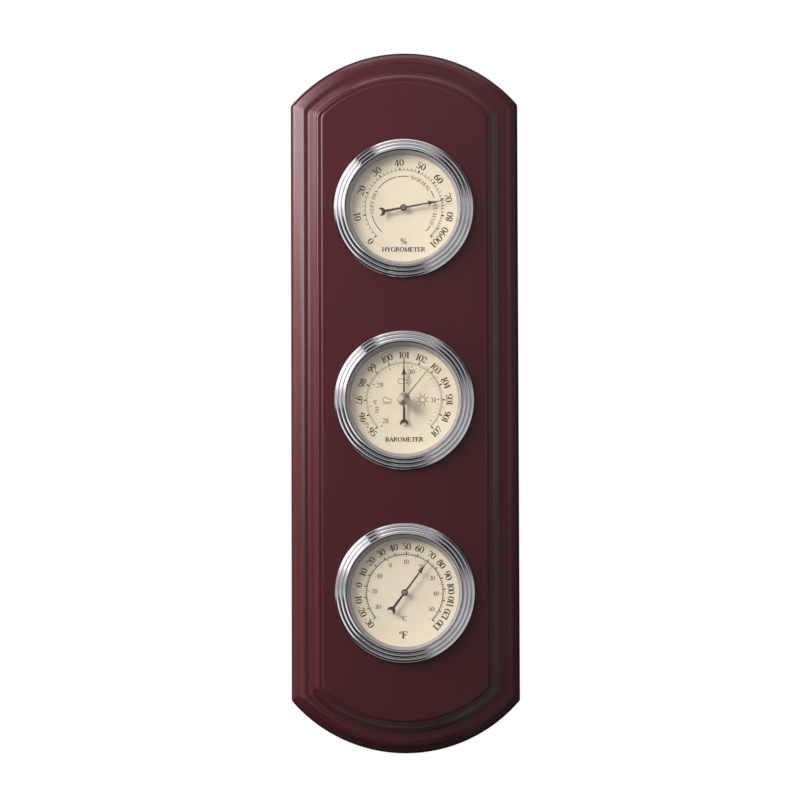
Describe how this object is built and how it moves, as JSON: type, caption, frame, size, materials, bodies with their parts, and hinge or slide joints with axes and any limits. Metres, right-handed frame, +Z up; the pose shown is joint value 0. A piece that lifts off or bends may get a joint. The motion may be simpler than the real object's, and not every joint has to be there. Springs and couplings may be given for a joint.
{
  "type": "weather station",
  "caption": "Wall-hung wooden plaque with a moulded edge, carrying a round hygrometer, aneroid barometer and thermometer with stepped chrome bezels, cream dials and black pointers.",
  "frame": {"origin": "centre of the keyhole hanger's round entry, in the plane of the wall", "axes": "+Z up along the plaque, +Y towards the wall, so the dials face -Y; +X to the right as the dials are read"},
  "size_m": [0.117, 0.0275, 0.362],
  "materials": {
    "lacquered_wood": "glossy dark red lacquer over close-grained wood",
    "hanger_steel": "zinc-plated",
    "bezel_chrome": "polished chrome",
    "ring_chrome": "polished",
    "window": "clear polished",
    "dial_face": "matt cream print",
    "case_plastic": "fine matt moulding",
    "grip_plastic": "soft matt moulding",
    "movement_steel": "turned and brushed",
    "screw_steel": "zinc-plated",
    "movement_brass": "brushed",
    "capsule_metal": "pressed nickel silver",
    "pointer_black": "satin black",
    "coil_bronze": "rolled strip",
    "coil_hygroscopic": "steel strip with a moisture-sensitive coating",
    "set_hand_brass": "polished",
    "knob_metal": "spun face, pale champagne"
  },
  "bodies": {
    "station": {"plaque": "lacquered_wood", "hanger_plate": "hanger_steel", "hanger_screws": "hanger_steel", "hygrometer_bezel": "bezel_chrome", "hygrometer_lens": "window", "hygrometer_dial_ring": "ring_chrome", "hygrometer_dial": "dial_face", "hygrometer_case": "case_plastic", "hygrometer_grip_ring": "grip_plastic", "hygrometer_bridge": "movement_steel", "hygrometer_bridge_screws": "screw_steel", "barometer_bezel": "bezel_chrome", "barometer_lens": "window", "barometer_dial_ring": "ring_chrome", "barometer_dial": "dial_face", "barometer_case": "case_plastic", "barometer_grip_ring": "grip_plastic", "barometer_case_screws": "screw_steel", "barometer_base_plate": "movement_brass", "barometer_capsule": "capsule_metal", "barometer_pillars": "movement_brass", "barometer_top_plate": "movement_brass", "barometer_plate_screws": "screw_steel", "barometer_cock": "movement_brass", "barometer_hairspring": "coil_bronze", "barometer_lens_bush": "movement_brass", "thermometer_bezel": "bezel_chrome", "thermometer_lens": "window", "thermometer_dial_ring": "ring_chrome", "thermometer_dial": "dial_face", "thermometer_case": "case_plastic", "thermometer_grip_ring": "grip_plastic", "thermometer_bridge": "movement_steel", "thermometer_bridge_screws": "screw_steel"},
    "hygro_adjust": {"hygrometer_adjuster": "movement_brass", "hygrometer_coil": "coil_hygroscopic"},
    "hygro_hand": {"hygrometer_arbor": "movement_steel", "hygrometer_pointer": "pointer_black"},
    "baro_hand": {"barometer_pinion": "movement_steel", "barometer_pointer": "pointer_black"},
    "baro_sector": {"barometer_sector": "movement_brass", "barometer_sector_staff": "movement_steel"},
    "baro_lever": {"barometer_lever": "movement_steel"},
    "baro_set": {"barometer_set_hand": "set_hand_brass", "barometer_set_knob": "knob_metal"},
    "baro_adjust": {"barometer_adjusting_screw": "movement_brass"},
    "thermo_adjust": {"thermometer_adjuster": "movement_brass", "thermometer_coil": "coil_bronze"},
    "thermo_hand": {"thermometer_arbor": "movement_steel", "thermometer_pointer": "pointer_black"}
  },
  "joints": [
    {"name": "hygrometer_adjust", "type": "hinge", "parent": "station", "child": "hygro_adjust", "pos_m": [0, -0.0184, -0.0528], "axis": [0, 1, 0], "range_deg": [-20, 20]},
    {"name": "hygrometer_hand", "type": "hinge", "parent": "hygro_adjust", "child": "hygro_hand", "pos_m": [0, -0.0184, -0.0528], "axis": [0, 1, 0], "range_deg": [-214.9, 56], "stiffness_Nm_per_rad": 0.0002, "deforming": ["hygrometer_coil"]},
    {"name": "barometer_hand", "type": "hinge", "parent": "station", "child": "baro_hand", "pos_m": [0, -0.0184, -0.152], "axis": [0, 1, 0], "range_deg": [-135, 135], "stiffness_Nm_per_rad": 0.0002, "deforming": ["barometer_hairspring"]},
    {"name": "barometer_sector_swing", "type": "hinge", "parent": "station", "child": "baro_sector", "pos_m": [0, -0.0134, -0.13876], "axis": [0, 1, 0], "range_deg": [-15.2, 15.2]},
    {"name": "barometer_lever_rock", "type": "hinge", "parent": "station", "child": "baro_lever", "pos_m": [0.00105, -0.00932, -0.152], "axis": [0, 0, 1], "range_deg": [-8.8, 8.8]},
    {"name": "barometer_set", "type": "hinge", "parent": "station", "child": "baro_set", "pos_m": [0, -0.0184, -0.152], "axis": [0, 1, 0], "continuous": true},
    {"name": "barometer_adjust", "type": "hinge", "parent": "station", "child": "baro_adjust", "pos_m": [-0.00295, -0.002, -0.152], "axis": [0, 1, 0], "range_deg": [-180, 180]},
    {"name": "thermometer_adjust", "type": "hinge", "parent": "station", "child": "thermo_adjust", "pos_m": [0, -0.0184, -0.2512], "axis": [0, 1, 0], "range_deg": [-20, 20]},
    {"name": "thermometer_hand", "type": "hinge", "parent": "thermo_adjust", "child": "thermo_hand", "pos_m": [0, -0.0184, -0.2512], "axis": [0, 1, 0], "range_deg": [-166, 98], "stiffness_Nm_per_rad": 0.0002, "deforming": ["thermometer_coil"]}
  ],
  "couplings": [
    {"joint": "barometer_sector_swing", "follows": "barometer_hand", "ratio": -0.11111},
    {"joint": "barometer_lever_rock", "follows": "barometer_hand", "ratio": -0.0645}
  ]
}
